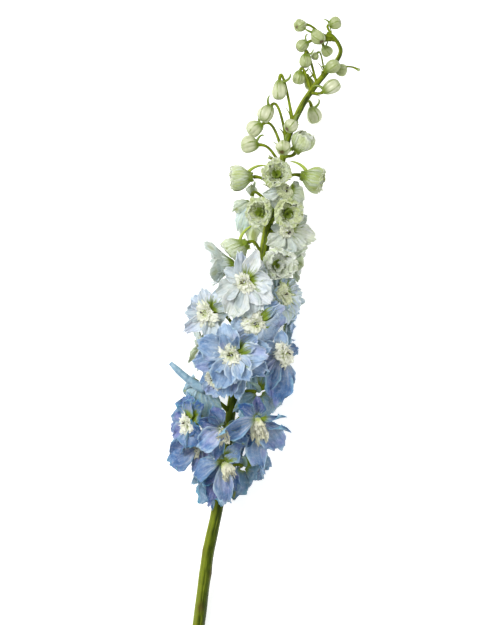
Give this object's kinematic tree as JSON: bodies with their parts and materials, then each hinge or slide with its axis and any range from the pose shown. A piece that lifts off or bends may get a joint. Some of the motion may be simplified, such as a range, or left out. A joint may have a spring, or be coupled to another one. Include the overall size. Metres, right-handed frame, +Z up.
{
  "type": "delphinium flower spike",
  "caption": "Cut delphinium flower spike lying on its side: blue open blooms low down, white and green half-open ones above, and round buds to a curled tip.",
  "frame": {"origin": "middle of the box that holds the part, on the surface that it lies on", "axes": "+Y along the spike from the cut end to the tip, +Z up from the surface, +X to the right of both"},
  "size_m": [0.1521, 0.5146, 0.0857],
  "materials": {
    "stem_green": "ridged green stem and stalks",
    "sepal_blue": "thin matt petal",
    "sepal_pale": "thin matt petal",
    "sepal_white": "thin matt petal",
    "cup_green": "thin matt petal",
    "bud_green": "smooth closed bud",
    "bee_cream": "fringed tuft of small petals"
  },
  "bodies": {
    "root": {"stem": "stem_green", "bloom_01": "sepal_blue", "bloom_02": "sepal_blue", "bloom_03": "sepal_blue", "bloom_03_bee": "bee_cream", "bloom_04": "sepal_blue", "bloom_04_bee": "bee_cream", "bloom_05": "sepal_blue", "bloom_05_bee": "bee_cream", "bloom_06": "sepal_blue", "bloom_06_bee": "bee_cream", "bloom_07": "sepal_blue", "bloom_07_bee": "bee_cream", "bloom_08": "sepal_blue", "bloom_09": "sepal_blue", "bloom_10": "sepal_blue", "bloom_10_bee": "bee_cream", "bloom_11": "sepal_pale", "bloom_11_bee": "bee_cream", "bloom_12": "sepal_pale", "bloom_12_bee": "bee_cream", "bloom_13": "sepal_pale", "bloom_14": "sepal_pale", "bloom_14_bee": "bee_cream", "bloom_15": "sepal_pale", "bloom_16": "sepal_pale", "bloom_16_bee": "bee_cream", "bloom_17": "sepal_pale", "bloom_17_bee": "bee_cream", "bloom_18": "sepal_white", "bloom_18_bee": "bee_cream", "bloom_19": "sepal_white", "bloom_19_bee": "bee_cream", "bloom_20": "sepal_white", "bloom_21": "sepal_white", "bloom_21_bee": "bee_cream", "bell_1": "cup_green", "bell_2": "cup_green", "rosette_1": "cup_green", "rosette_2": "cup_green", "rosette_3": "cup_green", "rosette_4": "cup_green", "cup_1": "cup_green", "cup_2": "cup_green", "cup_3": "cup_green", "cup_4": "cup_green", "bud_1": "bud_green", "bud_2": "bud_green", "bud_3": "bud_green", "bud_4": "bud_green", "bud_5": "bud_green", "bud_6": "bud_green", "bud_7": "bud_green", "bud_8": "bud_green", "under_1": "sepal_blue", "under_2": "sepal_blue", "under_3": "sepal_blue", "under_4": "sepal_blue", "under_5": "sepal_pale"}
  },
  "joints": []
}
